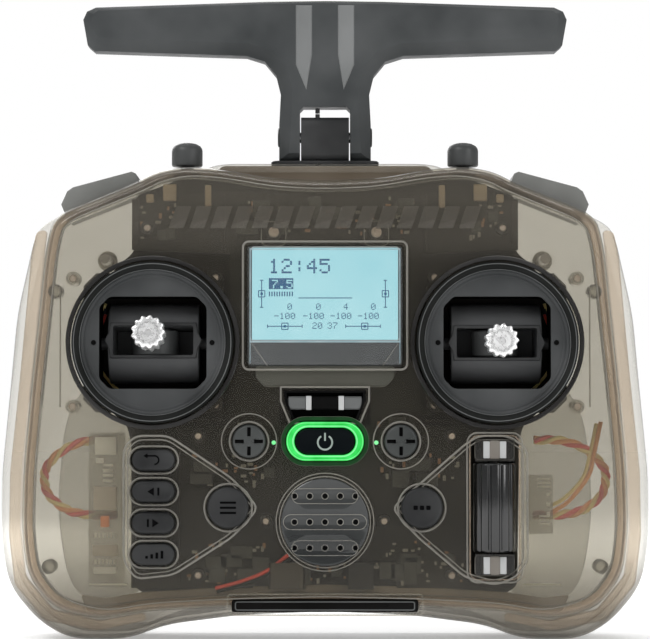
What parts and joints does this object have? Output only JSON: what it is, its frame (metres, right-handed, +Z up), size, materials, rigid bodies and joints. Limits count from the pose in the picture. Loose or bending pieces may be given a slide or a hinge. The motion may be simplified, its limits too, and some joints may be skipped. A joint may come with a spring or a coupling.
{
  "type": "radio transmitter controller",
  "caption": "Compact two-stick radio transmitter with clear smoke case, folding T antenna, lit display, keys, trims, roller, toggles, shoulder buttons and rear bays.",
  "frame": {"origin": "middle of the footprint on the surface the two lower corners stand on", "axes": "+Z up towards the antenna, -Y out of the face, +X to the right of someone looking at the face"},
  "size_m": [0.1566, 0.0652, 0.1542],
  "materials": {
    "smoke_shell": "clear smoke tint, polished",
    "pale_shell": "clear pale grey tint, polished",
    "grip_rubber": "soft matt, slightly clear",
    "black_plastic": "fine moulded texture",
    "circuit_board": "solder mask over copper",
    "lit_display": "backlit reflective glass",
    "clear_plastic": "clear, polished",
    "steel": "brushed",
    "green_light": "lit light guide",
    "grey_plastic": "fine moulded texture",
    "cell_wrap": "shrink wrap",
    "gloss_black": "polished",
    "orange_wire": "insulation",
    "knurled_aluminium": "knurled, machined"
  },
  "bodies": {
    "case": {"front_shell": "smoke_shell", "rear_shell": "pale_shell", "grip_left": "grip_rubber", "grip_right": "grip_rubber", "module_bay": "black_plastic", "main_board": "circuit_board", "speaker": "black_plastic", "display_panel": "lit_display", "display_window": "clear_plastic", "lanyard_bar": "steel", "power_light_ring": "green_light", "usb_port": "steel", "audio_jack": "black_plastic", "antenna_base": "grey_plastic", "antenna_hinge_pin": "steel", "antenna_cable": "black_plastic", "battery_cell_lower": "cell_wrap", "battery_cell_upper": "cell_wrap", "gimbal_bezel_left": "gloss_black", "gimbal_frame_left": "black_plastic", "toggle_switch_left": "steel", "wire_loom_left": "orange_wire", "gimbal_bezel_right": "gloss_black", "gimbal_frame_right": "black_plastic", "toggle_switch_right": "steel", "wire_loom_right": "orange_wire", "case_screw_1": "steel", "case_screw_2": "steel", "case_screw_3": "steel", "case_screw_4": "steel"},
    "battery_door": {"battery_door": "black_plastic"},
    "module_bay_cover": {"module_bay_cover": "black_plastic"},
    "port_cover": {"port_cover": "black_plastic"},
    "antenna": {"antenna_arm": "grey_plastic"},
    "power_button": {"power_button": "gloss_black"},
    "yoke_left": {"gimbal_yoke_left": "black_plastic"},
    "stick_left": {"gimbal_stick_left": "steel", "stick_end_left": "knurled_aluminium"},
    "yoke_right": {"gimbal_yoke_right": "black_plastic"},
    "stick_right": {"gimbal_stick_right": "steel", "stick_end_right": "knurled_aluminium"},
    "trim_plate_left": {"trim_plate_left": "black_plastic"},
    "trim_pad_left": {"trim_pad_left": "grey_plastic"},
    "trim_plate_right": {"trim_plate_right": "black_plastic"},
    "trim_pad_right": {"trim_pad_right": "grey_plastic"},
    "pill_key_1": {"pill_key_1": "grey_plastic"},
    "pill_key_2": {"pill_key_2": "grey_plastic"},
    "pill_key_3": {"pill_key_3": "grey_plastic"},
    "pill_key_4": {"pill_key_4": "grey_plastic"},
    "round_key_left": {"round_key_left": "grey_plastic"},
    "round_key_right": {"round_key_right": "grey_plastic"},
    "roller_carriage": {"roller_carriage": "grey_plastic"},
    "roller": {"roller": "gloss_black"},
    "shoulder_button_left": {"shoulder_button_left": "black_plastic"},
    "toggle_left": {"toggle_lever_left": "black_plastic"},
    "shoulder_button_right": {"shoulder_button_right": "black_plastic"},
    "toggle_right": {"toggle_lever_right": "black_plastic"},
    "rear_button": {"rear_button": "black_plastic"},
    "rear_dial": {"rear_dial": "black_plastic"}
  },
  "joints": [
    {"name": "battery_door_off", "type": "slide", "parent": "case", "child": "battery_door", "axis": [0, 1, 0], "range_m": [0, 0.03]},
    {"name": "module_bay_cover_off", "type": "slide", "parent": "case", "child": "module_bay_cover", "axis": [0, 1, 0], "range_m": [0, 0.03]},
    {"name": "port_cover_swing", "type": "hinge", "parent": "case", "child": "port_cover", "pos_m": [0, -0.0036, 0.0072], "axis": [1, 0, 0], "range_deg": [0, 50]},
    {"name": "antenna_fold", "type": "hinge", "parent": "case", "child": "antenna", "pos_m": [0, 0.006, 0.1211], "axis": [-1, 0, 0], "range_deg": [0, 90]},
    {"name": "throttle_pitch", "type": "hinge", "parent": "case", "child": "yoke_left", "pos_m": [-0.0407, -0.0012, 0.0707], "axis": [1, 0, 0], "range_deg": [-21, 28]},
    {"name": "stick_left_yaw", "type": "hinge", "parent": "yoke_left", "child": "stick_left", "pos_m": [-0.0407, -0.0012, 0.0707], "axis": [0, 0.0628, 0.998], "range_deg": [-25, 25], "stiffness_Nm_per_rad": 0.03},
    {"name": "stick_right_pitch", "type": "hinge", "parent": "case", "child": "yoke_right", "pos_m": [0.0407, -0.0012, 0.0707], "axis": [1, 0, 0], "range_deg": [-25, 25], "stiffness_Nm_per_rad": 0.03},
    {"name": "stick_right_yaw", "type": "hinge", "parent": "yoke_right", "child": "stick_right", "pos_m": [0.0407, -0.0012, 0.0707], "axis": [0, 0, 1], "range_deg": [-25, 25], "stiffness_Nm_per_rad": 0.03},
    {"name": "power_press", "type": "slide", "parent": "case", "child": "power_button", "axis": [0, 1, 0], "range_m": [0, 0.0006], "stiffness_N_per_m": 800},
    {"name": "trim_left_up_down", "type": "hinge", "parent": "case", "child": "trim_plate_left", "pos_m": [-0.0179, -0.0106, 0.0474], "axis": [1, 0, 0], "range_deg": [-3, 3], "stiffness_Nm_per_rad": 0.05},
    {"name": "trim_left_side", "type": "hinge", "parent": "trim_plate_left", "child": "trim_pad_left", "pos_m": [-0.0179, -0.0106, 0.0474], "axis": [0, 0, 1], "range_deg": [-3, 3], "stiffness_Nm_per_rad": 0.05},
    {"name": "trim_right_up_down", "type": "hinge", "parent": "case", "child": "trim_plate_right", "pos_m": [0.0179, -0.0106, 0.0474], "axis": [1, 0, 0], "range_deg": [-3, 3], "stiffness_Nm_per_rad": 0.05},
    {"name": "trim_right_side", "type": "hinge", "parent": "trim_plate_right", "child": "trim_pad_right", "pos_m": [0.0179, -0.0106, 0.0474], "axis": [0, 0, 1], "range_deg": [-3, 3], "stiffness_Nm_per_rad": 0.05},
    {"name": "pill_key_1_press", "type": "slide", "parent": "case", "child": "pill_key_1", "axis": [0, 1, 0], "range_m": [0, 0.0006], "stiffness_N_per_m": 800},
    {"name": "pill_key_2_press", "type": "slide", "parent": "case", "child": "pill_key_2", "axis": [0, 1, 0], "range_m": [0, 0.0006], "stiffness_N_per_m": 800},
    {"name": "pill_key_3_press", "type": "slide", "parent": "case", "child": "pill_key_3", "axis": [0, 1, 0], "range_m": [0, 0.0006], "stiffness_N_per_m": 800},
    {"name": "pill_key_4_press", "type": "slide", "parent": "case", "child": "pill_key_4", "axis": [0, 1, 0], "range_m": [0, 0.0006], "stiffness_N_per_m": 800},
    {"name": "round_key_left_press", "type": "slide", "parent": "case", "child": "round_key_left", "axis": [0, 1, 0], "range_m": [0, 0.0006], "stiffness_N_per_m": 800},
    {"name": "round_key_right_press", "type": "slide", "parent": "case", "child": "round_key_right", "axis": [0, 1, 0], "range_m": [0, 0.0006], "stiffness_N_per_m": 800},
    {"name": "roller_press", "type": "slide", "parent": "case", "child": "roller_carriage", "axis": [0, 1, 0], "range_m": [0, 0.0006], "stiffness_N_per_m": 800},
    {"name": "roller_spin", "type": "hinge", "parent": "roller_carriage", "child": "roller", "pos_m": [0.04, -0.0104, 0.0318], "axis": [0, 0, 1], "continuous": true},
    {"name": "shoulder_button_left_press", "type": "slide", "parent": "case", "child": "shoulder_button_left", "axis": [0.3707, 0, -0.9288], "range_m": [0, 0.0012], "stiffness_N_per_m": 1000},
    {"name": "toggle_left_flip", "type": "hinge", "parent": "case", "child": "toggle_left", "pos_m": [-0.0336, 0.008, 0.107], "axis": [1, 0, 0], "range_deg": [-15, 15]},
    {"name": "shoulder_button_right_press", "type": "slide", "parent": "case", "child": "shoulder_button_right", "axis": [-0.3707, 0, -0.9288], "range_m": [0, 0.0012], "stiffness_N_per_m": 1000},
    {"name": "toggle_right_flip", "type": "hinge", "parent": "case", "child": "toggle_right", "pos_m": [0.0336, 0.008, 0.107], "axis": [1, 0, 0], "range_deg": [-15, 15]},
    {"name": "rear_button_press", "type": "slide", "parent": "case", "child": "rear_button", "axis": [0, -1, 0], "range_m": [0, 0.0012], "stiffness_N_per_m": 800},
    {"name": "rear_dial_turn", "type": "hinge", "parent": "case", "child": "rear_dial", "pos_m": [0.034, 0.0225, 0.092], "axis": [0, 1, 0], "range_deg": [-150, 150]}
  ]
}
